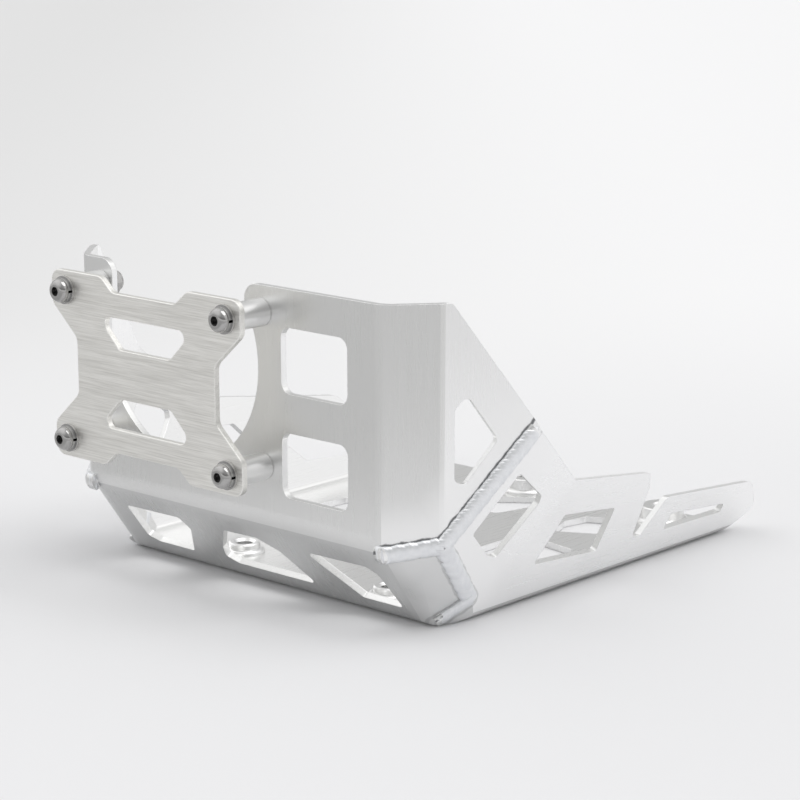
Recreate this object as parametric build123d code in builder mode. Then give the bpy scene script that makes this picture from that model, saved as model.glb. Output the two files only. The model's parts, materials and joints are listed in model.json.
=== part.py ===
"""Motorcycle skid plate: a folded and welded aluminium pan with an X-shaped filter guard bolted in front.

Millimetres. The front panel faces -Y, the floor is Z = 0 and +X is the right-hand side seen from the front.
"""

from build123d import *
from math import cos, radians, sin
import os

os.makedirs("parts", exist_ok=True)

# Sheet of the pan, and sizes that only have to clear it: far outside, just past a face, and through a panel
sheet = 4.0
reach = 900.0
margin = 1.0
cut_depth = 3 * sheet

# Front panel, corner wings and side panels, all standing upright
front_height = 187.0
front_half_width = 120.5
wing_angle = 49.0
wing_width = 32.0
side_splay = 23.4

# Ramp under the front panel, floor pan and leaning side flanges
ramp_height = 50.0
ramp_depth = 36.0
gusset_start = 0.7
gusset_rise = 3.4
heel_back = 55.1
heel_height = 14.3
floor_spread = 10.2
flange_lean = 20.5
corner_fold_start = 52.0
corner_fold_run = 65.5
corner_fold_height = 75.7
corner_turn = 8.5

# Outer radii of the folds
wing_fold = 14.0
ramp_top_fold = 26.0
ramp_foot_fold = 15.0
gusset_fold = 22.0
heel_fold = 60.0
corner_fold = 60.0
flange_fold = 9.0

# Upper edges of the two sides, as distance back and height
slope_top = (29.8, front_height)
slope_foot = (79.5, 112.5)
shoulder = (118.0, 75.0)
right_flange_end = (193.5, 64.0)
right_notch = [(198.0, 53.0), (197.5, 21.5), (206.0, 20.5), (222.0, 42.2)]
left_flange_end = (243.5, 56.1)
left_step = (262.0, 37.6)
tail_top = (314.0, 33.5)
tail_rear = (328.5, 13.0)
tail_foot = (303.0, 1.5)
edge_radius = 3.0
right_notch_radii = [5.0, 1.5, 2.5, 2.5, 4.0]
left_step_radii = [8.0, 8.0]
tail_radii = [12.0, 6.0, 2.0]
floor_rear = 311.0
floor_corner = 14.0

# Openings of the front panel
keyhole_drop = 47.0
keyhole_bolt_gap = 3.0
neck_shift = -2.0
neck_step = 8.3
ear_radius = 9.0
window_width = 50.5
window_side_gap = 25.95
window_top_gap = 21.55
window_foot_gap = 18.25
window_web = 22.2
window_radius = 6.5

# Cut-outs in each panel's own plane: along the panel, then up it. The outer two of the ramp are measured
# from the front panel's left and right edge, and those beside the middle of the floor from its right edge
ramp_cut_left = [(21.5, 44.0), (67.5, 45.0), (72.5, 36.0), (61.5, 14.0), (31.5, 14.0), (23.0, 17.5)]
ramp_cut_centre = [
    (-15.0, 44.0), (12.0, 45.0), (27.0, 37.0), (43.0, 13.5), (-21.0, 13.5), (-29.5, 17.5), (-27.0, 26.0)
]
ramp_cut_right = [(-70.5, 43.5), (-23.0, 44.5), (-16.0, 39.5), (-11.0, 13.0), (-41.5, 13.0)]
side_cut = [(7.4, 87.5), (7.4, 128.0), (15.1, 136.0), (33.8, 109.5), (14.0, 86.3)]
corner_cut = [(22.6, 90.8), (43.7, 72.6), (42.8, 68.0), (16.9, 38.9), (10.1, 41.5), (-4.7, 57.9)]
right_flange_cuts = [
    [(118.9, 56.6), (168.6, 49.9), (163.9, 21.0), (103.7, 26.5), (114.3, 46.3)],
    [(229.5, 20.0), (232.0, 31.0), (290.0, 24.6), (288.5, 18.7)],
]
left_flange_cuts = [
    [(118.9, 57.8), (146.0, 56.4), (176.0, 22.0), (103.7, 26.5), (114.3, 46.3)],
    [(171.0, 49.0), (226.0, 43.5), (252.0, 16.8), (201.0, 21.0)],
]
floor_centre_cut = [
    (-42.0, 226.0), (4.0, 232.0), (13.5, 268.0), (-2.0, 279.0), (-22.0, 263.0), (-40.0, 258.0)
]
floor_side_cuts = [
    [(-73.7, 223.0), (-43.7, 239.5), (-40.7, 262.0), (-68.7, 268.5), (-78.7, 264.0), (-82.2, 246.0)],
    [(-83.7, 128.0), (-83.7, 196.0), (-64.7, 203.5), (-36.7, 199.0), (-33.7, 150.0), (-50.7, 128.0)],
]
cut_radius = 2.2
ramp_cut_radius = 2.5
side_cut_radius = 4.0
floor_cut_radius = 5.0

# Weld beads along the four seams of each corner
bead_width = 10.0
bead_thickness = 5.6
bead_sink = 0.6
bead_lead = 5.0
upper_bead_stop = 0.97
heel_bead_stop = 0.83

# Filter guard: an X-shaped plate on four spacers
guard_sheet = 4.0
bolt_side_gap = 16.5
bolt_span = 133.0
bolt_top_gap = 15.2
bolt_foot_gap = 33.8
lobe_side = 12.0
lobe_end = 11.5
lobe_width = 42.5
lobe_height = 20.0
bay_width = 10.0
bay_depth = 8.5
waist_depth = 21.0
waist_rise = 19.0
guard_radius = 7.0
slot_rim = 14.3
slot_height = 18.2
slot_side = 18.0
slot_taper = 18.5
slot_radius = 4.5
guard_edge = 0.4
spacer_length = 24.0
spacer_diameter = 16.0
spacer_edge = 0.5

# M8 fasteners
bolt_diameter = 8.0
bolt_hole = 8.6
bolt_length = 45.0
head_diameter = 14.0
head_height = 4.4
head_rim = 0.9
crown_flat = 3.9
crown_bulge = 0.7
bolt_point = 0.8
hex_socket = 5.0
socket_depth = 2.8
lock_outer = 14.6
lock_thickness = 2.0
lock_cut = 1.4
lock_turn = 20.0
washer_outer = 16.6
washer_thickness = 1.6
nut_across_flats = 13.0
nut_height = 6.0
nut_collar = 11.6
nut_collar_height = 2.0
thread_clearance = 0.05

# Turned mounting bosses welded onto the floor, each over a bolt hole
boss_bore = 10.5
boss_dish = 1.6
boss_rim = 0.8
boss_weld = 3.0
front_boss_left_inset = 77.2
front_boss_left_gap = 28.0
front_boss_right_inset = 57.2
front_boss_right_gap = 20.0
front_boss_diameter = 19.0
front_boss_height = 6.5
rear_boss_gap = 21.5
rear_boss_right_inset = 38.2
rear_boss_centre_shift = -19.0
rear_boss_diameter = 27.0
rear_boss_height = 10.0


def panel(origin, outward):
    """Plane of a panel's outer face: local x runs level along the panel and local y runs up it."""
    return Plane(origin=origin, x_dir=Vector(0, 0, 1).cross(outward), z_dir=outward)


def fold(first, second, radius, inset):
    """Solid behind two panels, rounded along the fold between them; inset moves both faces inwards."""
    one = first.offset(-inset)
    two = second.offset(-inset)
    crease = one.intersect(two)
    away_one = one.z_dir.cross(crease.direction)
    away_two = two.z_dir.cross(crease.direction)
    away_one = away_one * (-1 if away_one.dot(two.z_dir) > 0 else 1)
    away_two = away_two * (-1 if away_two.dot(one.z_dir) > 0 else 1)
    section = Plane(origin=crease.position, x_dir=away_one, z_dir=crease.direction)
    inward = (one.z_dir + two.z_dir).normalized() * -reach
    deep = (inward.dot(section.x_dir), inward.dot(section.y_dir))
    tip_one = (reach, 0)
    tip_two = (reach * away_two.dot(section.x_dir), reach * away_two.dot(section.y_dir))
    deep_one = (tip_one[0] + deep[0], tip_one[1] + deep[1])
    deep_two = (tip_two[0] + deep[0], tip_two[1] + deep[1])
    with BuildPart() as wedge:
        with BuildSketch(section):
            with BuildLine():
                FilletPolyline(tip_one, (0, 0), tip_two, radius=radius - inset)
                Polyline(tip_two, deep_two, deep_one, tip_one)
            make_face()
        extrude(amount=reach, both=True)
    return wedge.part


def shifted(outline, distance):
    """An outline moved along its panel."""
    return [(x + distance, y) for x, y in outline]


# Widths and places that follow from the sizes above
floor_half_width = front_half_width + floor_spread
bolt_half_span = bolt_span / 2
bolt_columns = (bolt_side_gap - front_half_width, bolt_side_gap - front_half_width + bolt_span)
bolt_rows = (front_height - bolt_top_gap, ramp_height + bolt_foot_gap)
bolt_half_rise = (bolt_rows[0] - bolt_rows[1]) / 2
keyhole_x = bolt_columns[0] + bolt_half_span
keyhole_z = front_height - keyhole_drop
keyhole_radius = bolt_half_span - keyhole_bolt_gap
neck_x = keyhole_x + neck_shift
neck_half_width = keyhole_radius - neck_step
window_x = front_half_width - window_side_gap - window_width / 2
window_room = front_height - window_top_gap - window_web - window_foot_gap - ramp_height
window_height = window_room / 2
window_high = front_height - window_top_gap - window_height / 2
window_low = ramp_height + window_foot_gap + window_height / 2

# Outer faces of the right-hand half, worked out from the folds between them
wing_end_x = front_half_width + wing_width * cos(radians(wing_angle))
wing_end_y = wing_width * sin(radians(wing_angle))
lean = radians(flange_lean)
front_panel = panel((0, 0, 0), Vector(0, -1, 0))
wing_turn = radians(wing_angle)
wing_panel = panel((front_half_width, 0, 0), Vector(sin(wing_turn), -cos(wing_turn), 0))
splay = radians(side_splay)
side_panel = panel((wing_end_x, wing_end_y, 0), Vector(cos(splay), -sin(splay), 0))
ramp_panel = panel((0, ramp_depth, 0), Vector(0, -ramp_height, -ramp_depth).normalized())
flange_panel = panel((floor_half_width, 0, 0), Vector(cos(lean), 0, -sin(lean)))
floor_panel = Plane.XY.rotated((180, 0, 0))

# The corner panel turns out of the flange about a slanting fold line
crease_start = Vector(floor_half_width, corner_fold_start, 0)
crease_rise = corner_fold_height * sin(lean) / cos(lean)
crease_way = Vector(crease_rise, corner_fold_run, corner_fold_height).normalized()
corner_outward = flange_panel.z_dir.rotate(Axis((0, 0, 0), tuple(crease_way)), -corner_turn)
corner_panel = panel(crease_start, corner_outward)

# The gusset folds out of the ramp and reaches the foot of the wing and the side panel
gusset_x = front_half_width + gusset_start
gusset_high = Vector(gusset_x, 0, ramp_height)
gusset_low = Vector(gusset_x, ramp_depth, 0)
gusset_out = Vector(wing_end_x, wing_end_y, ramp_height + gusset_rise) - gusset_high
gusset_panel = panel(gusset_high, (gusset_low - gusset_high).cross(gusset_out).normalized())


def seam_point(one, two, three):
    """Point where three panels meet."""
    return one.intersect(two).intersect(three)


# Below, the gusset bends on around the heel, to a point low on the corner panel
seam_low = seam_point(side_panel, corner_panel, gusset_panel)
heel_level = Plane.XY.offset(heel_height)
heel_high = seam_point(corner_panel, Plane.XZ.offset(-heel_back), heel_level)
heel_panel = panel(seam_low, (gusset_low - seam_low).cross(heel_high - seam_low).normalized())

folds = [
    (front_panel, wing_panel, wing_fold),
    (wing_panel, side_panel, wing_fold),
    (front_panel, ramp_panel, ramp_top_fold),
    (ramp_panel, floor_panel, ramp_foot_fold),
    (ramp_panel, gusset_panel, gusset_fold),
    (gusset_panel, heel_panel, heel_fold),
    (corner_panel, flange_panel, corner_fold),
    (flange_panel, floor_panel, flange_fold),
]


def pan_form(inset):
    """Right-hand half of the pan as a solid block, its faces moved inwards by inset."""
    with BuildPart() as form:
        with Locations((0, -reach / 4, -reach / 4)):
            Box(reach / 2, reach, reach, align=(Align.MIN, Align.MIN, Align.MIN))
        for first, second, radius in folds:
            add(fold(first, second, radius, inset), mode=Mode.INTERSECT)
    return form.part


def across(plane):
    """The same plane on the left-hand side, with its local x and y running the same way as on the right."""
    origin = Vector(-plane.origin.X, plane.origin.Y, plane.origin.Z)
    x_dir = Vector(-plane.x_dir.X, plane.x_dir.Y, plane.x_dir.Z)
    z_dir = Vector(plane.z_dir.X, -plane.z_dir.Y, -plane.z_dir.Z)
    return Plane(origin=origin, x_dir=x_dir, z_dir=z_dir)


def trim_side(form, upper_edge, upper_radii):
    """Half of the pan cut to its upper edge, seen from the side, and to the rear edge of the floor."""
    edge = [(-reach, -margin), (-reach, front_height)] + upper_edge + [(tail_foot[0], -margin)]
    radii = [0, 0] + upper_radii + [0]
    floor_outer = floor_half_width - flange_fold
    floor_edge = [(0, -reach), (0, floor_rear), (floor_outer - floor_corner, floor_rear)]
    floor_edge += [(floor_outer, tail_foot[0]), (floor_outer, -reach)]
    with BuildPart() as envelope:
        with BuildSketch(Plane.YZ):
            with BuildLine():
                FilletPolyline(*edge, radius=radii, close=True)
            make_face()
        extrude(amount=reach)
        with BuildSketch(Plane.XY.offset(-margin)):
            with BuildLine():
                Polyline(*floor_edge, close=True)
            make_face()
        extrude(amount=sheet + 2 * margin)
        add(form, mode=Mode.INTERSECT)
    return envelope.part


def cut_panel(plane, outlines, radius):
    """Cut outlines, given in a panel's own coordinates, through the panel."""
    for outline in outlines:
        with BuildSketch(plane) as opening:
            with BuildLine():
                FilletPolyline(*outline, radius=radius, close=True)
            make_face()
        extrude(opening.sketch, amount=cut_depth, both=True, mode=Mode.SUBTRACT)


def seam_bead(start, end, one, two):
    """Flat oval weld bead lying over the seam between two panels."""
    way = (end - start).normalized()
    outward = (one.z_dir + two.z_dir).normalized()
    with BuildPart() as run:
        with BuildSketch(Plane(origin=start - outward * bead_sink, x_dir=outward, z_dir=way)):
            Ellipse(bead_thickness / 2, bead_width / 2)
        extrude(amount=(end - start).length)
    return run.part


def ring(outer, inner, start, length):
    """Round ring along Y, from start towards the back."""
    with BuildPart() as band:
        with BuildSketch(Plane.XZ.offset(-start)):
            Circle(outer / 2)
            Circle(inner / 2, mode=Mode.SUBTRACT)
        extrude(amount=-length)
    return band.part


def at_bolts(piece):
    """Four copies of a piece, one on each bolt of the filter guard."""
    with BuildPart() as group:
        with Locations(*[(x, 0, z) for x in bolt_columns for z in bolt_rows]):
            add(piece)
    return group.part


def mounting_boss(x, y, diameter, height):
    """Turned boss standing on the floor, its bore countersunk above and a weld fillet round its foot."""
    outer = diameter / 2
    bore = boss_bore / 2
    top = sheet + height
    with BuildPart() as turned:
        with BuildSketch(Plane.XZ):
            with BuildLine():
                Polyline((outer + boss_weld, sheet), (bore, sheet), (bore, top - boss_dish),
                         (bore + boss_dish, top), (outer - boss_rim, top), (outer, top - boss_rim),
                         (outer, sheet + boss_weld))
                RadiusArc((outer, sheet + boss_weld), (outer + boss_weld, sheet), boss_weld)
            make_face()
        revolve(axis=Axis.Z)
    with BuildPart() as boss:
        with Locations((x, y, 0)):
            add(turned.part)
    return boss.part


# Ends of the welded seams of the right-hand corner
wing_start = seam_point(front_panel, wing_panel, gusset_panel)
lead_start = wing_start - Vector(bead_lead, 0, 0)
slope = Vector(0, slope_foot[0] - slope_top[0], slope_foot[1] - slope_top[1])
slope_plane = Plane(origin=(0, *slope_foot), x_dir=(1, 0, 0), z_dir=Vector(1, 0, 0).cross(slope))
seam_high = seam_low + (seam_point(side_panel, corner_panel, slope_plane) - seam_low) * upper_bead_stop
heel_foot = heel_high + (gusset_low - heel_high) * heel_bead_stop

front_left = (front_boss_left_inset - floor_half_width, ramp_depth + front_boss_left_gap)
front_right = (floor_half_width - front_boss_right_inset, ramp_depth + front_boss_right_gap)
rear_right = (floor_half_width - rear_boss_right_inset, floor_rear - rear_boss_gap)
rear_centre = (rear_boss_centre_shift, floor_rear - rear_boss_gap)
bosses = {
    "boss_front_left": (*front_left, front_boss_diameter, front_boss_height),
    "boss_front_right": (*front_right, front_boss_diameter, front_boss_height),
    "boss_rear_centre": (*rear_centre, rear_boss_diameter, rear_boss_height),
    "boss_rear_right": (*rear_right, rear_boss_diameter, rear_boss_height),
}
ramp_cuts = [
    shifted(ramp_cut_left, -front_half_width),
    ramp_cut_centre,
    shifted(ramp_cut_right, front_half_width),
]
floor_edge_cuts = [shifted(outline, floor_half_width) for outline in floor_side_cuts]

# Pan: one folded sheet, closed at each corner by welded seams
front_form = pan_form(0)
hollow_form = pan_form(sheet)
with BuildPart() as shell:
    add(front_form)
    add(hollow_form, mode=Mode.SUBTRACT)

shared_edge = [slope_top, slope_foot, shoulder]
tail = [tail_top, tail_rear, tail_foot]
right_edge = shared_edge + [right_flange_end] + right_notch + tail
left_edge = shared_edge + [left_flange_end, left_step] + tail
right_radii = [edge_radius] * len(shared_edge) + right_notch_radii + tail_radii
left_radii = [edge_radius] * len(shared_edge) + left_step_radii + tail_radii
right_half = trim_side(shell.part, right_edge, right_radii)
left_half = trim_side(shell.part, left_edge, left_radii)

with BuildPart() as skid_plate:
    add(right_half)
    add(mirror(left_half, about=Plane.YZ, mode=Mode.PRIVATE))
    # Keyhole for the filter housing, with the ears rounded at its mouth
    with BuildSketch(front_panel):
        with Locations((keyhole_x, keyhole_z)):
            Circle(keyhole_radius)
        with Locations((neck_x, keyhole_z)):
            Rectangle(2 * neck_half_width, reach, align=(Align.CENTER, Align.MIN))
    extrude(amount=cut_depth, both=True, mode=Mode.SUBTRACT)
    mouth = skid_plate.edges().filter_by(Axis.Y)
    mouth = mouth.filter_by_position(Axis.Z, front_height - margin, front_height + margin)
    mouth = mouth.filter_by_position(Axis.X, neck_x - keyhole_radius, neck_x + keyhole_radius)
    fillet(mouth, ear_radius)
    # Two windows beside the keyhole
    with BuildSketch(front_panel):
        with Locations((window_x, window_high), (window_x, window_low)):
            RectangleRounded(window_width, window_height, window_radius)
    extrude(amount=cut_depth, both=True, mode=Mode.SUBTRACT)
    cut_panel(ramp_panel, ramp_cuts, ramp_cut_radius)
    for side in (side_panel, across(side_panel)):
        cut_panel(side, [side_cut], side_cut_radius)
    for side in (corner_panel, across(corner_panel)):
        cut_panel(side, [corner_cut], cut_radius)
    cut_panel(flange_panel, right_flange_cuts, cut_radius)
    cut_panel(across(flange_panel), left_flange_cuts, cut_radius)
    cut_panel(Plane.XY, [floor_centre_cut] + floor_edge_cuts, floor_cut_radius)
    cut_panel(across(Plane.XY), floor_edge_cuts, floor_cut_radius)
    # Bolt holes of the filter guard and of the bosses
    with BuildSketch(front_panel):
        with Locations(*[(x, z) for x in bolt_columns for z in bolt_rows]):
            Circle(bolt_hole / 2)
    extrude(amount=cut_depth, both=True, mode=Mode.SUBTRACT)
    with BuildSketch(Plane.XY):
        with Locations(*[(x, y) for x, y, diameter, height in bosses.values()]):
            Circle(boss_bore / 2)
    extrude(amount=sheet, mode=Mode.SUBTRACT)
    # Welded seams of both corners
    beads = [
        seam_bead(lead_start, wing_start, front_panel, gusset_panel),
        seam_bead(wing_start, seam_low, wing_panel, gusset_panel),
        seam_bead(seam_low, seam_high, side_panel, corner_panel),
        seam_bead(seam_low, heel_high, heel_panel, corner_panel),
        seam_bead(heel_high, heel_foot, heel_panel, floor_panel),
    ]
    for run in beads:
        add(run)
        add(mirror(run, about=Plane.YZ, mode=Mode.PRIVATE))
    split(bisect_by=Plane.XY, keep=Keep.TOP)
skid_plate.part.label = "skid_plate"
export_step(skid_plate.part, "parts/skid_plate.step")

# Filter guard: X-shaped plate with two tapering slots
half_width = bolt_half_span + lobe_side
half_height = bolt_half_rise + lobe_end
lobe = [
    (half_width - lobe_width - bay_width, half_height - bay_depth),
    (half_width - lobe_width, half_height),
    (half_width, half_height),
    (half_width, half_height - lobe_height),
    (half_width - waist_depth, half_height - lobe_height - waist_rise),
]
upper_right = list(lobe)
lower_right = [(x, -z) for x, z in reversed(lobe)]
lower_left = [(-x, -z) for x, z in lobe]
upper_left = [(-x, z) for x, z in reversed(lobe)]
guard_outline = upper_right + lower_right + lower_left + upper_left
slot_wide = half_width - waist_depth - slot_side
slot_narrow = slot_wide - slot_taper
slot_outer = half_height - bay_depth - slot_rim
slot_inner = slot_outer - slot_height
guard_slot = [
    (-slot_wide, slot_outer),
    (slot_wide, slot_outer),
    (slot_narrow, slot_inner),
    (-slot_narrow, slot_inner),
]
guard_origin = (keyhole_x, -spacer_length, (bolt_rows[0] + bolt_rows[1]) / 2)
guard_centre = Plane(origin=guard_origin, x_dir=(1, 0, 0), z_dir=(0, -1, 0))
with BuildPart() as guard_plate:
    with BuildSketch(guard_centre):
        with BuildLine():
            FilletPolyline(*guard_outline, radius=guard_radius, close=True)
        make_face()
        with GridLocations(bolt_span, 2 * bolt_half_rise, 2, 2):
            Circle(bolt_hole / 2, mode=Mode.SUBTRACT)
    extrude(amount=guard_sheet)
    cut_panel(guard_centre, [guard_slot, [(x, -z) for x, z in guard_slot]], slot_radius)
    chamfer(guard_plate.faces().filter_by(Axis.Y).edges(), guard_edge)
guard_plate.part.label = "guard_plate"
export_step(guard_plate.part, "parts/guard_plate.step")

# Spacers between the guard and the front panel
spacer = ring(spacer_diameter, bolt_hole, -spacer_length, spacer_length)
for side, x in zip(("left", "right"), bolt_columns):
    for level, z in zip(("upper", "lower"), bolt_rows):
        with BuildPart() as standoff:
            with Locations((x, 0, z)):
                add(spacer)
            chamfer(standoff.edges().filter_by(GeomType.CIRCLE).group_by(SortBy.RADIUS)[-1], spacer_edge)
        standoff.part.label = f"standoff_{level}_{side}"
        export_step(standoff.part, f"parts/standoff_{level}_{side}.step")

# Button-head screw with a hexagon socket, its head towards the front
washer_face = -(spacer_length + guard_sheet + washer_thickness)
head_seat = washer_face - lock_thickness
head_top = head_seat - head_height
bolt_radius = bolt_diameter / 2
crown_x = crown_flat + (head_diameter / 2 - crown_flat) * crown_bulge
crown = (crown_x, head_top + head_height * (1 - crown_bulge))
with BuildPart() as screw:
    with BuildSketch(Plane.XY):
        with BuildLine():
            Polyline((0, head_top), (crown_flat, head_top))
            ThreePointArc((crown_flat, head_top), crown, (head_diameter / 2, head_seat - head_rim))
            Polyline((head_diameter / 2, head_seat - head_rim), (head_diameter / 2, head_seat),
                     (bolt_radius, head_seat), (bolt_radius, head_seat + bolt_length - bolt_point),
                     (bolt_radius - bolt_point, head_seat + bolt_length), (0, head_seat + bolt_length),
                     (0, head_top))
        make_face()
    revolve(axis=Axis.Y)
    with BuildSketch(Plane.XZ.offset(-head_top)):
        RegularPolygon(hex_socket / 2, 6, major_radius=False)
    extrude(amount=-socket_depth, mode=Mode.SUBTRACT)
guard_screws = at_bolts(screw.part)
guard_screws.label = "guard_screws"
export_step(guard_screws, "parts/guard_screws.step")

# Spring lock washers, each cut through once
with BuildPart() as lock:
    add(ring(lock_outer, bolt_hole, head_seat, lock_thickness))
    with BuildSketch(Plane.XZ.offset(-head_seat)):
        with Locations((lock_outer / 2, 0)):
            Rectangle(lock_outer, lock_cut, rotation=lock_turn)
    extrude(amount=-lock_thickness, mode=Mode.SUBTRACT)
lock_washers = at_bolts(lock.part)
lock_washers.label = "lock_washers"
export_step(lock_washers, "parts/lock_washers.step")

# Flat washers
flat_washers = at_bolts(ring(washer_outer, bolt_hole, washer_face, washer_thickness))
flat_washers.label = "flat_washers"
export_step(flat_washers, "parts/flat_washers.step")

# Hexagon lock nuts behind the front panel, each with a round collar at its back
with BuildPart() as nut:
    add(ring(nut_collar, bolt_diameter + 2 * thread_clearance, sheet + nut_height, nut_collar_height))
    with BuildSketch(Plane.XZ.offset(-sheet)):
        RegularPolygon(nut_across_flats / 2, 6, major_radius=False)
        Circle(bolt_radius + thread_clearance, mode=Mode.SUBTRACT)
    extrude(amount=-nut_height)
guard_nuts = at_bolts(nut.part)
guard_nuts.label = "guard_nuts"
export_step(guard_nuts, "parts/guard_nuts.step")

# Mounting bosses
for name, (x, y, diameter, height) in bosses.items():
    boss = mounting_boss(x, y, diameter, height)
    boss.label = name
    export_step(boss, f"parts/{name}.step")
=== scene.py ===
import json
from math import pi, radians, sin, sqrt

import bmesh
import bpy
from mathutils import Matrix, Vector


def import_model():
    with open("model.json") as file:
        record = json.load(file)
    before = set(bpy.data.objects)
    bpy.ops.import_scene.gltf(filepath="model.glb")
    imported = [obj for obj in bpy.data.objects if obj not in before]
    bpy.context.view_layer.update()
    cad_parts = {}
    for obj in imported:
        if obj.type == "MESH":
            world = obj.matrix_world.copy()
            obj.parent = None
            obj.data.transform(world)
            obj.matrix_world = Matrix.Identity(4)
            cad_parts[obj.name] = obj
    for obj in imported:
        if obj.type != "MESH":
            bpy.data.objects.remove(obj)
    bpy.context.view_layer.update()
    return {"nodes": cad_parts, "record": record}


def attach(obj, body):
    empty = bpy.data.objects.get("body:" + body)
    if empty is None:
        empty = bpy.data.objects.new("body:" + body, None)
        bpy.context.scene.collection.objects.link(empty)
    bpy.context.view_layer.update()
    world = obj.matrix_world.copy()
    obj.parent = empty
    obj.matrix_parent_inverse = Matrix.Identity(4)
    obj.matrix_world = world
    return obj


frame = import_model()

MM = 0.001

# Camera, fitted to the photograph: place, turns in degrees, lens and film in millimetres, clipping in metres
CAMERA_PLACE = Vector((1047.8, -1001.0, 449.1)) * MM
CAMERA_YAW = 42.424
CAMERA_PITCH = 12.939
CAMERA_ROLL = -0.174
CAMERA_LENS = 117.97
SENSOR = 36.0
CLIP_NEAR = 0.05
CLIP_FAR = 60.0

# Ends of the welded seams of the right-hand corner, in millimetres
LEAD_START = Vector((115.5, 0.0, 48.73))
WING_START = Vector((120.5, 0.0, 48.73))
SEAM_LOW = Vector((141.77, 24.79, 53.02))
SEAM_HIGH = Vector((164.6, 77.5, 114.0))
HEEL_HIGH = Vector((134.94, 55.1, 14.3))
HEEL_FOOT = Vector((123.54, 39.25, 2.43))

# Outward directions of the panels beside the seams
FRONT_OUT = Vector((0.0, -1.0, 0.0))
WING_OUT = Vector((0.7547, -0.6561, 0.0))
SIDE_OUT = Vector((0.9178, -0.3971, 0.0))
GUSSET_OUT = Vector((0.7286, -0.5559, -0.4002))
HEEL_OUT = Vector((0.8593, -0.318, -0.4006))
CORNER_OUT = Vector((0.959, -0.1148, -0.2592))
FLOOR_OUT = Vector((0.0, 0.0, -1.0))

# Limits on the x, y and z of a surface's outward direction, which tell the panels of the sheet apart
UPRIGHT = 0.12
RAMP_DOWN = -0.45
FACES_FRONT = -0.6
FACES_BACK = 0.05
LEANS_OUT = 0.3
FACES_SIDE = 0.9
HANGS_DOWN = -0.38
FACES_GROUND = -0.9

# Ground surface beside the welds: distances in millimetres over which it fades out, how ragged its edge is,
# the share of it that panels hanging below lose as painted shade, and what it does to the sheet's colour,
# metal and roughness
GROUND_NEAR = 9.0
GROUND_FAR = 34.0
RAGGED_EDGE = 3.0
GROUND_SHADED_BELOW = 0.65
GROUND_BRIGHT = 0.85
GROUND_MATT = 0.15
GROUND_ROUGH = 0.10

# Painted shade along the toes of a weld bead, where bead meets sheet: distances from the seam over which it
# sets in and ends, its strength, what upright panels add to that, and its colour
TOE_INNER = (3.6, 4.8)
TOE_OUTER = (5.6, 6.7)
TOE_SHADE_STRENGTH = 0.3
TOE_SHADE_UPRIGHT = 0.65
TOE_SHADE_COLOUR = (0.16, 0.165, 0.17)

# Sheet: scales of its rolling grain across, along, and along on the ramp, its colours, and the shares of the
# painted shade colour in front, and of the fresh colour as painted light at the sides and as wear on worn
# edges
GRAIN_FINE = 2600.0
GRAIN_LONG = 22.0
GRAIN_RAMP = 30.0
SHEET_DARK = (0.78, 0.78, 0.77)
SHEET_PALE = (0.95, 0.95, 0.945)
SHEET_PAINTED_SHADE = (0.50, 0.505, 0.505)
SHEET_FRESH_AND_LIT = (0.99, 0.99, 0.99)
PAINTED_SHADE_SHARE = 0.6
PAINTED_SHADE_FRONT = 0.33
PAINTED_LIGHT_SIDE = 0.9
WORN_SHARE = 0.9

# Guard plate: scales of its brush lines along and across, and its colours
BRUSH_FINE = (45.0, 1800.0, 1800.0)
BRUSH_BROAD = (7.0, 420.0, 420.0)
PLATE_DARK = (0.70, 0.69, 0.655)
PLATE_PALE = (1.0, 0.99, 0.96)
PLATE_WORN = (1.0, 0.995, 0.98)

# Axes of the guard's screws, depths and radii of their hexagon sockets, and the painted shade in the sockets
BOLT_COLUMNS = (-104.0, 29.0)
BOLT_ROWS = (83.8, 171.8)
SOCKET_MOUTH = -35.6
SOCKET_FLOOR = -33.0
SOCKET_EDGE = (2.55, 3.0)
SOCKET_SHADE = (0.03, 0.03, 0.03)
SOCKET_SHADE_SHARE = 0.95
SOCKET_SHADE_MATT = 0.6

# Weld beads, in millimetres
BEAD_HALF_WIDTH = 5.3
BEAD_HALF_HEIGHT = 3.15
BEAD_SINK = 0.6
RIPPLE_PITCH = 2.3
RIPPLE_DEPTH = 0.11
SMOOTH_DEPTH = 0.05
RIPPLE_BOW = 2.6
STEPS_PER_RIPPLE = 8
BEAD_SIDES = 32
BEND_REACH = 3.0
SHORTEST_REACH = 0.05
END_LENGTH = 4.5
SMALLEST_END = 0.15

# Slow changes of a bead's thickness: share of it, turn for each millimetre, and turn at the start
WANDERS = ((0.03, 0.9, 0.0), (0.025, 0.37, 1.0))

# Floor: size and drop in metres, colours with painted light and shade, and the directions and distances over
# which they change
FLOOR_HALF = 12.0
FLOOR_GAP = 0.0002
FLOOR_COLOUR = (0.80, 0.80, 0.81)
FLOOR_FAR_LIT = (0.885, 0.885, 0.89)
FLOOR_FAR_LEFT_SHADE = (0.72, 0.72, 0.72)
FLOOR_LEFT_SHADE = (0.53, 0.53, 0.53)
FLOOR_FRONT_SHADE = (0.58, 0.58, 0.58)
LEFT_WAY = (-0.631, -0.7755, 0.0)
LEFT_FADE = (0.12, 0.26)
FRONT_WAY = (0.669, -0.743, 0.0)
FRONT_FADE = (0.33, 0.58)
FAR_WAY = (-0.6746, 0.7382, 0.0)
FAR_FADE = (0.1, 1.0)
SIDE_WAY = (-0.7382, -0.6746, 0.0)
SIDE_FADE = (-0.5, 0.6)

# Studio that surrounds the part: its lowest level, the level of its horizon, and the heights over which that
# fades
BASE_LEVEL = 0.245
HORIZON_LEVEL = 0.89
HORIZON_FADE = (0.10, 0.22)
UPWARDS = (0.0, 0.0, 1.0)

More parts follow.
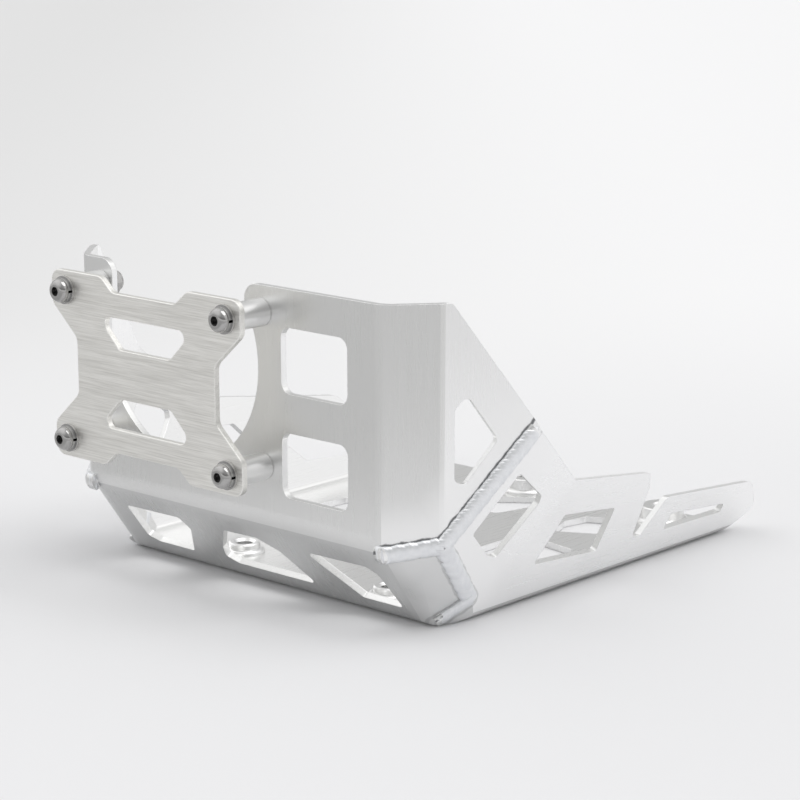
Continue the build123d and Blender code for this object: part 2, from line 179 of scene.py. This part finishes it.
# Bright parts of the studio overhead, at the right, behind and in front: direction, level that each adds,
# and how closely a ray has to go that way for it to set in and to be full
STUDIO_LIGHTS = (
    (UPWARDS, 0.30, (0.1, 0.7)),
    ((0.70, 0.50, 0.50), 0.52, (0.62, 0.97)),
    ((-0.62, 0.68, 0.40), 0.16, (0.0, 0.8)),
    ((-0.60, -0.45, 0.66), 0.58, (0.45, 0.95)),
)

# Lamp overhead: power, width in degrees, and the direction in which it stands
OVERHEAD_POWER = 0.74
OVERHEAD_ANGLE = 45.0
OVERHEAD_WAY = Vector((0.36, 0.12, 0.92))

# Depth in metres of the bumps, samples of a rounded edge, how far its normal turns where wear sets in and is
# full, and the places of a Mix node's colour sockets
BUMP_DISTANCE = 0.0002
EDGE_SAMPLES = 6
WEAR_FADE = (0.01, 0.10)
MIX_FIRST = 6
MIX_SECOND = 7
MIX_RESULT = 2


class Value:
    """A number in a shader, which the usual signs join to others with Math nodes."""

    def __init__(self, board, socket):
        self.board = board
        self.socket = socket

    def __add__(self, other):
        return self.board.maths("ADD", self, other)

    def __radd__(self, other):
        return self.board.maths("ADD", other, self)

    def __sub__(self, other):
        return self.board.maths("SUBTRACT", self, other)

    def __rsub__(self, other):
        return self.board.maths("SUBTRACT", other, self)

    def __mul__(self, other):
        return self.board.maths("MULTIPLY", self, other)

    def __rmul__(self, other):
        return self.board.maths("MULTIPLY", other, self)

    def above(self, limit):
        return self.board.maths("GREATER_THAN", self, limit)

    def below(self, limit):
        return self.board.maths("LESS_THAN", self, limit)

    def size(self):
        return self.board.maths("ABSOLUTE", self)

    def least(self, other):
        return self.board.maths("MINIMUM", self, other)

    def most(self, other):
        return self.board.maths("MAXIMUM", self, other)

    def swing(self, amount):
        """Change by up to half an amount down or up, as this value goes from 0 to 1."""
        return (self - 0.5) * amount

    def ramp(self, low, high, out_low=0.0, out_high=1.0):
        """Smooth change from out_low to out_high as this value goes from low to high."""
        ends = {"From Min": low, "From Max": high, "To Min": out_low, "To Max": out_high}
        settings = {"interpolation_type": "SMOOTHSTEP"}
        made = self.board.node("ShaderNodeMapRange", settings, {"Value": self, **ends})
        return Value(self.board, made.outputs["Result"])

    def fade(self, near, far):
        """1 up to near, and smoothly down to 0 at far."""
        return self.ramp(near, far, 1.0, 0.0)


class Board:
    """A node tree, to which nodes are added: a material's or the world's."""

    def __init__(self, tree):
        self.tree = tree

    def feed(self, slot, item):
        """Feeds a socket from a value or another socket, or sets it."""
        if isinstance(item, Value):
            item = item.socket
        if isinstance(item, bpy.types.NodeSocket):
            self.tree.links.new(item, slot)
        elif slot.type == "RGBA":
            slot.default_value = (*item, 1.0)
        else:
            slot.default_value = item

    def node(self, kind, settings=None, sockets=None):
        """Any node: its type, its settings, and the values or links of its sockets by name or place."""
        made = self.tree.nodes.new(kind)
        for key, item in (settings or {}).items():
            setattr(made, key, item)
        for key, item in (sockets or {}).items():
            self.feed(made.inputs[key], item)
        return made

    def maths(self, operation, *items):
        """Result of a Math node."""
        made = self.node("ShaderNodeMath", {"operation": operation}, dict(enumerate(items)))
        return Value(self, made.outputs["Value"])

    def vectors(self, operation, sockets, result="Vector"):
        """Result of a Vector Math node, by the name of its output."""
        return self.node("ShaderNodeVectorMath", {"operation": operation}, sockets).outputs[result]

    def dot(self, first, second):
        """How far one vector reaches along another, if that is 1 long."""
        return Value(self, self.vectors("DOT_PRODUCT", {0: first, 1: second}, "Value"))


class Finish(Board):
    """A material with a Principled shader."""

    def __init__(self, name):
        self.material = bpy.data.materials.new(name)
        self.material.use_nodes = True
        super().__init__(self.material.node_tree)
        self.shader = self.tree.nodes["Principled BSDF"]
        self.place = self.node("ShaderNodeTexCoord").outputs["Object"]

    def set(self, **sockets):
        """Feeds or sets sockets of the shader, whose names are written with _ for a space."""
        for key, item in sockets.items():
            self.feed(self.shader.inputs[key.replace("_", " ")], item)

    def stretched(self, scale):
        """Object place multiplied by a scale for each axis."""
        return self.vectors("MULTIPLY", {0: self.place, 1: scale})

    def along(self, way):
        """Object place measured along a direction."""
        return self.dot(self.place, way)

    def noise(self, scale, detail=3.0, rough=0.55):
        """Noise in 0 to 1 on the object's place, stretched by a scale for each axis."""
        sockets = {"Vector": self.stretched(scale), "Scale": 1.0, "Detail": detail, "Roughness": rough}
        return Value(self, self.node("ShaderNodeTexNoise", {}, sockets).outputs["Fac"])

    def even_noise(self, scale, detail=3.0):
        """Noise with the same scale on all axes."""
        return self.noise((scale, scale, scale), detail)

    def outward(self):
        """The surface's true outward direction."""
        return self.node("ShaderNodeNewGeometry").outputs["True Normal"]

    def outward_parts(self):
        """The x, y and z of the surface's true outward direction."""
        split = self.node("ShaderNodeSeparateXYZ", {}, {"Vector": self.outward()})
        return [Value(self, socket) for socket in split.outputs]

    def colour(self, factor, first, second):
        """Mix of two colours by a factor."""
        sockets = {"Factor": factor, MIX_FIRST: first, MIX_SECOND: second}
        return self.node("ShaderNodeMix", {"data_type": "RGBA"}, sockets).outputs[MIX_RESULT]

    def near_line(self, start, end):
        """Distance in millimetres from the surface to a straight line between two points."""
        way = end - start
        rest = self.vectors("SUBTRACT", {0: self.stretched((1 / MM,) * 3), 1: start})
        held = self.dot(rest, way.normalized()).most(0.0).least(way.length)
        nearest = self.vectors("SCALE", {0: way.normalized(), "Scale": held})
        return Value(self, self.vectors("DISTANCE", {0: rest, 1: nearest}, "Value"))

    def soft_edges(self, radius):
        """Normal that rounds off sharp edges."""
        return self.node("ShaderNodeBevel", {"samples": EDGE_SAMPLES}, {"Radius": radius}).outputs["Normal"]

    def worn_edge(self, rounded):
        """1 along sharp edges, 0 on flat surfaces: how far the rounded normal leaves the true one."""
        return (1.0 - self.dot(rounded, self.outward())).ramp(*WEAR_FADE)

    def bump(self, height, strength, base=None):
        """Normal that a height disturbs, on top of another normal if one is given."""
        sockets = {"Height": height, "Strength": strength, "Distance": BUMP_DISTANCE}
        if base is not None:
            sockets["Normal"] = base
        return self.node("ShaderNodeBump", {}, sockets).outputs["Normal"]


def satin_sheet():
    """Folded sheet: satin aluminium whose rolling grain runs down the front and back along the floor."""
    look = Finish("satin_sheet")
    x, y, z = look.outward_parts()
    is_upright = z.size().below(UPRIGHT)
    is_ramp = z.below(RAMP_DOWN) * y.below(FACES_FRONT)
    upright = look.noise((GRAIN_FINE, GRAIN_FINE, GRAIN_LONG))
    ramp = look.noise((GRAIN_FINE, GRAIN_RAMP, GRAIN_RAMP))
    lying = look.noise((GRAIN_FINE, GRAIN_LONG, GRAIN_FINE))
    grain = upright * is_upright + (1.0 - is_upright) * (ramp * is_ramp + lying * (1.0 - is_ramp))
    cloud = look.even_noise(9.0, detail=2.0)
    streak = look.noise((240.0, 240.0, 9.0), detail=2.0)
    rounded = look.soft_edges(radius=0.0005)

    # Masks of the ground surface and of the toe line's painted shade beside the seams
    seam = look.near_line(SEAM_LOW, SEAM_HIGH)
    for start, end in ((WING_START, SEAM_LOW), (SEAM_LOW, HEEL_HIGH), (HEEL_HIGH, HEEL_FOOT)):
        seam = seam.least(look.near_line(start, end))
    ragged = seam + look.even_noise(160.0).swing(RAGGED_EDGE)
    hanging = z.below(HANGS_DOWN) * z.above(FACES_GROUND) * x.size().below(FACES_SIDE)
    ground = ragged.fade(GROUND_NEAR, GROUND_FAR) * x.size().above(LEANS_OUT)
    # Panels hanging below keep less of the ground surface: painted shade
    ground = ground * (1.0 - hanging * GROUND_SHADED_BELOW)
    # Painted shade along both edges of each bead, stronger on upright panels and left out where a panel
    # faces back
    toe = ragged.fade(*TOE_OUTER) * ragged.ramp(*TOE_INNER)
    toe = toe * (TOE_SHADE_STRENGTH + TOE_SHADE_UPRIGHT * is_upright) * y.below(FACES_BACK)

    # Colour: grain, painted shade in front and below, painted light at the sides, fresh at the welds and
    # edges, and painted shade along the toe line
    tone = grain.swing(0.30) + streak.swing(0.10) + cloud.swing(0.05) + 0.5
    # Painted shade on the panels hanging below and, weaker, on the panels facing the front
    painted_shade = hanging.most(y.below(FACES_FRONT) * PAINTED_SHADE_FRONT)
    worn = look.worn_edge(rounded) * WORN_SHARE
    # Painted light on the panels facing sideways; ground metal beside the welds and worn edges are lighter
    # too
    fresh_and_lit = (ground * GROUND_BRIGHT).most(worn).most(x.size().above(FACES_SIDE) * PAINTED_LIGHT_SIDE)
    base = look.colour(tone, SHEET_DARK, SHEET_PALE)
    base = look.colour(painted_shade * PAINTED_SHADE_SHARE, base, SHEET_PAINTED_SHADE)
    base = look.colour(fresh_and_lit, base, SHEET_FRESH_AND_LIT)
    look.set(Base_Color=look.colour(toe, base, TOE_SHADE_COLOUR), Metallic=1.0 - ground * GROUND_MATT)
    look.set(Roughness=0.30 + grain.swing(0.18) + cloud.swing(0.06) + ground * GROUND_ROUGH)
    look.set(Normal=look.bump(grain, strength=0.14, base=rounded))
    return look.material


def brushed_plate():
    """Guard plate: long level brush lines in slightly warm aluminium."""
    look = Finish("brushed_plate")
    fine = look.noise(BRUSH_FINE, detail=4.0, rough=0.6)
    broad = look.noise(BRUSH_BROAD)
    cloud = look.even_noise(8.0, detail=2.0)
    rounded = look.soft_edges(radius=0.0004)
    tone = fine.swing(1.9) + broad.swing(0.9) + cloud.swing(0.1) + 0.62
    base = look.colour(tone, PLATE_DARK, PLATE_PALE)
    look.set(Metallic=1.0, Base_Color=look.colour(look.worn_edge(rounded) * WORN_SHARE, base, PLATE_WORN))
    look.set(Roughness=0.38 + fine.swing(0.3), Normal=look.bump(fine, strength=0.30, base=rounded))
    return look.material


def turned_aluminium():
    """Spacers and bosses: satin aluminium with fine turning rings."""
    look = Finish("turned_aluminium")
    rings = look.noise((60.0, 2400.0, 2400.0), detail=2.0)
    look.set(Metallic=1.0, Base_Color=look.colour(rings, (0.78, 0.78, 0.775), (0.88, 0.88, 0.875)))
    rounded = look.soft_edges(radius=0.0004)
    look.set(Roughness=0.30 + rings.swing(0.12), Normal=look.bump(rings, strength=0.06, base=rounded))
    return look.material


def stainless():
    """Screws, washers and nuts: polished stainless steel, with painted shade inside the screws' sockets."""
    look = Finish("stainless")
    haze = look.even_noise(900.0)
    wells = [
        look.near_line(Vector((x, SOCKET_MOUTH, z)), Vector((x, SOCKET_FLOOR, z)))
        for x in BOLT_COLUMNS
        for z in BOLT_ROWS
    ]
    nearest = wells[0]
    for well in wells[1:]:
        nearest = nearest.least(well)
    # Painted shade in the screws' sockets: nearly black and less metallic
    socket_shade = nearest.fade(*SOCKET_EDGE)
    steel = look.colour(haze, (0.38, 0.375, 0.37), (0.50, 0.495, 0.49))
    base = look.colour(socket_shade * SOCKET_SHADE_SHARE, steel, SOCKET_SHADE)
    rounded = look.soft_edges(radius=0.0003)
    look.set(Metallic=1.0 - socket_shade * SOCKET_SHADE_MATT, Base_Color=base)
    look.set(Roughness=0.10 + haze.swing(0.06), Normal=look.bump(haze, strength=0.03, base=rounded))
    return look.material


def spring_steel():
    """Lock washers: darker satin steel."""
    look = Finish("spring_steel")
    haze = look.even_noise(1300.0)
    look.set(Metallic=1.0, Base_Color=look.colour(haze, (0.42, 0.42, 0.42), (0.54, 0.54, 0.535)))
    rounded = look.soft_edges(radius=0.0003)
    look.set(Roughness=0.30 + haze.swing(0.14), Normal=look.bump(haze, strength=0.05, base=rounded))
    return look.material


def weld_metal():
    """Weld beads: smooth cast metal with a faint cool stain."""
    look = Finish("weld_metal")
    stain = look.even_noise(260.0)
    pits = look.even_noise(1800.0, detail=2.0)
    look.set(Metallic=1.0, Base_Color=look.colour(stain, (0.76, 0.775, 0.80), (0.93, 0.935, 0.945)))
    look.set(Roughness=0.44 + pits.swing(0.16), Normal=look.bump(pits, strength=0.12))
    return look.material


def finish_nodes():
    """Gives every CAD node its finish."""
    finishes = {
        "satin_sheet": satin_sheet(),
        "brushed_plate": brushed_plate(),
        "turned_aluminium": turned_aluminium(),
        "stainless": stainless(),
        "spring_steel": spring_steel(),
    }
    slots = {part["node"]: part["material_slot"] for part in frame["record"]["subparts"]}
    for name, piece in frame["nodes"].items():
        piece.data.materials.clear()
        piece.data.materials.append(finishes[slots[name]])


def linked(name, data):
    """A new object in the scene: a mesh, a lamp or a camera."""
    made = bpy.data.objects.new(name, data)
    bpy.context.scene.collection.objects.link(made)
    return made


def meshed(name, shape, material):
    """A new object in the scene, from a finished shape and with one material."""
    mesh = bpy.data.meshes.new(name)
    shape.to_mesh(mesh)
    shape.free()
    mesh.materials.append(material)
    return linked(name, mesh)


def weld_bead(name, stops, material, depth, rounded, mirrored=False):
    """Rippled bead drawn along its stops: a stop is a point and the seam's outward direction there."""
    shape = bmesh.new()
    bmesh.ops.create_circle(shape, segments=BEAD_SIDES, radius=1.0)
    section = [vert.co.copy() for vert in shape.verts]
    edges = list(shape.edges)
    verts = list(shape.verts)
    for number, (place, swell) in enumerate(bead_rings(stops, depth, rounded)):
        if number > 0:
            grown = bmesh.ops.extrude_edge_only(shape, edges=edges)["geom"]
            verts = [item for item in grown if isinstance(item, bmesh.types.BMVert)]
            edges = [item for item in grown if isinstance(item, bmesh.types.BMEdge) and item.is_boundary]
        for vert, spot in zip(verts, section):
            flat = Vector((spot.x * BEAD_HALF_WIDTH, spot.y * BEAD_HALF_HEIGHT, 0.0)) * swell
            bow = Vector((0.0, 0.0, -RIPPLE_BOW * spot.x * spot.x * swell))
            vert.co = place @ (flat + bow)
    bmesh.ops.holes_fill(shape, edges=[edge for edge in shape.edges if edge.is_boundary], sides=0)
    if mirrored:
        bmesh.ops.scale(shape, vec=(-1.0, 1.0, 1.0), verts=shape.verts)
    bmesh.ops.scale(shape, vec=(MM,) * 3, verts=shape.verts)
    bmesh.ops.recalc_face_normals(shape, faces=shape.faces)
    for face in shape.faces:
        face.smooth = True
    piece = meshed(name, shape, material)
    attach(piece, "root")


def along_stops(stops, distance):
    """Point and outward direction at a distance along a bead's stops."""
    for one, two in zip(stops, stops[1:]):
        leg = (two[0] - one[0]).length
        if distance <= leg or two is stops[-1]:
            share = min(max(distance / leg, 0.0), 1.0)
            return one[0].lerp(two[0], share), one[1].lerp(two[1], share)
        distance -= leg


def bead_rings(stops, depth, rounded):
    """Place and swell of each section of a bead, evenly spaced along its stops."""
    total = sum((two[0] - one[0]).length for one, two in zip(stops, stops[1:]))
    count = round(total / RIPPLE_PITCH) * STEPS_PER_RIPPLE
    rings = []
    for i in range(count + 1):
        along = total * i / count
        reach = max(min(BEND_REACH, along, total - along), SHORTEST_REACH)
        behind = along_stops(stops, along - reach)[0]
        ahead = along_stops(stops, along + reach)[0]
        way = (ahead - behind).normalized()
        outward = along_stops(stops, along)[1]
        outward = (outward - way * outward.dot(way)).normalized()
        turn = Matrix((way.cross(outward), outward, way)).transposed().to_4x4()
        centre = (behind + ahead) / 2 - outward * BEAD_SINK
        phase = i % STEPS_PER_RIPPLE / STEPS_PER_RIPPLE
        wander = sum(share * sin(along * pace + start) for share, pace, start in WANDERS)
        swell = 1.0 + depth / BEAD_HALF_HEIGHT * (sin(pi * phase) - 0.5) + wander
        rings.append((Matrix.Translation(centre) @ turn, swell * end_share(along, total, rounded)))
    return rings


def end_share(along, total, rounded):
    """Share of its full size that a bead has near a free, rounded end."""
    share = 1.0
    for gap, free in zip((along, total - along), rounded):
        if free and gap < END_LENGTH:
            share = min(share, max(sqrt(1.0 - (1.0 - gap / END_LENGTH) ** 2), SMALLEST_END))
    return share


def weld_beads():
    """Four beads at each front corner: three meet at the foot of the side seam, the last rounds the toe."""
    metal = weld_metal()
    low = (SEAM_LOW, (SIDE_OUT + CORNER_OUT + GUSSET_OUT).normalized())
    lead_start = (LEAD_START, (FRONT_OUT + GUSSET_OUT).normalized())
    wing_start = (WING_START, (WING_OUT + GUSSET_OUT).normalized())
    high = (SEAM_HIGH, (SIDE_OUT + CORNER_OUT).normalized())
    heel_high = (HEEL_HIGH, (HEEL_OUT + CORNER_OUT).normalized())
    toe_out = (HEEL_OUT + FLOOR_OUT).normalized()
    toe = [(HEEL_HIGH, toe_out), (HEEL_FOOT, toe_out)]
    foot = [lead_start, wing_start, low]
    for side, mirrored in (("right", False), ("left", True)):
        weld_bead(f"bead_wing_foot_{side}", foot, metal, SMOOTH_DEPTH, (True, False), mirrored)
        weld_bead(f"bead_side_{side}", [low, high], metal, RIPPLE_DEPTH, (False, True), mirrored)
        weld_bead(f"bead_heel_{side}", [low, heel_high], metal, SMOOTH_DEPTH, (False, False), mirrored)
        weld_bead(f"bead_toe_{side}", toe, metal, SMOOTH_DEPTH, (False, True), mirrored)


def floor():
    """Wide pale floor just below the part, with painted light far off, painted shade far off to the left,
    and painted shade beyond the left and the lower border of the picture.
    """
    look = Finish("floor")
    far = look.along(FAR_WAY).ramp(*FAR_FADE)
    side = look.along(SIDE_WAY).ramp(*SIDE_FADE)
    # Painted light far off, painted shade far to the left, beyond the left and in front
    shade = look.colour(far, FLOOR_COLOUR, FLOOR_FAR_LIT)
    shade = look.colour(side * far, shade, FLOOR_FAR_LEFT_SHADE)
    shade = look.colour(look.along(LEFT_WAY).ramp(*LEFT_FADE), shade, FLOOR_LEFT_SHADE)
    shade = look.colour(look.along(FRONT_WAY).ramp(*FRONT_FADE), shade, FLOOR_FRONT_SHADE)
    look.set(Base_Color=shade, Roughness=0.7, Specular_IOR_Level=0.2)
    shape = bmesh.new()
    bmesh.ops.create_grid(shape, x_segments=1, y_segments=1, size=FLOOR_HALF)
    bmesh.ops.translate(shape, vec=(0.0, 0.0, -FLOOR_GAP), verts=shape.verts)
    piece = meshed("floor", shape, look.material)


def world():
    """Studio around the part, pale at the horizon all round and with a few bright parts."""
    studio = bpy.data.worlds.new("studio")
    bpy.context.scene.world = studio
    studio.use_nodes = True
    studio.node_tree.nodes.clear()
    board = Board(studio.node_tree)
    way = board.node("ShaderNodeTexCoord").outputs["Generated"]
    level = BASE_LEVEL
    for towards, strength, fade in STUDIO_LIGHTS:
        level = level + strength * board.dot(way, Vector(towards).normalized()).ramp(*fade)
    horizon = board.dot(way, UPWARDS).size().fade(*HORIZON_FADE)
    level = level + horizon * (HORIZON_LEVEL - level)
    white = board.node("ShaderNodeBackground", {}, {"Color": (1.0, 1.0, 1.0), "Strength": level})
    board.node("ShaderNodeOutputWorld", {}, {"Surface": white.outputs["Background"]})


def lamps():
    """One wide soft lamp high up at the right and behind."""
    data = bpy.data.lights.new("overhead", "SUN")
    data.energy = OVERHEAD_POWER
    data.angle = radians(OVERHEAD_ANGLE)
    lamp = linked("overhead", data)
    lamp.rotation_euler = OVERHEAD_WAY.to_track_quat("Z", "Y").to_euler()


def camera():
    """Camera at the photograph's viewpoint."""
    data = bpy.data.cameras.new("camera")
    data.lens = CAMERA_LENS
    data.sensor_width = SENSOR
    data.clip_start = CLIP_NEAR
    data.clip_end = CLIP_FAR
    eye = linked("camera", data)
    yaw = Matrix.Rotation(radians(CAMERA_YAW), 4, "Z")
    pitch = Matrix.Rotation(radians(90.0 - CAMERA_PITCH), 4, "X")
    roll = Matrix.Rotation(radians(CAMERA_ROLL), 4, "Z")
    eye.matrix_world = Matrix.Translation(CAMERA_PLACE) @ yaw @ pitch @ roll
    bpy.context.scene.camera = eye


bpy.context.scene.view_settings.view_transform = "Standard"
finish_nodes()
weld_beads()
floor()
world()
lamps()
camera()
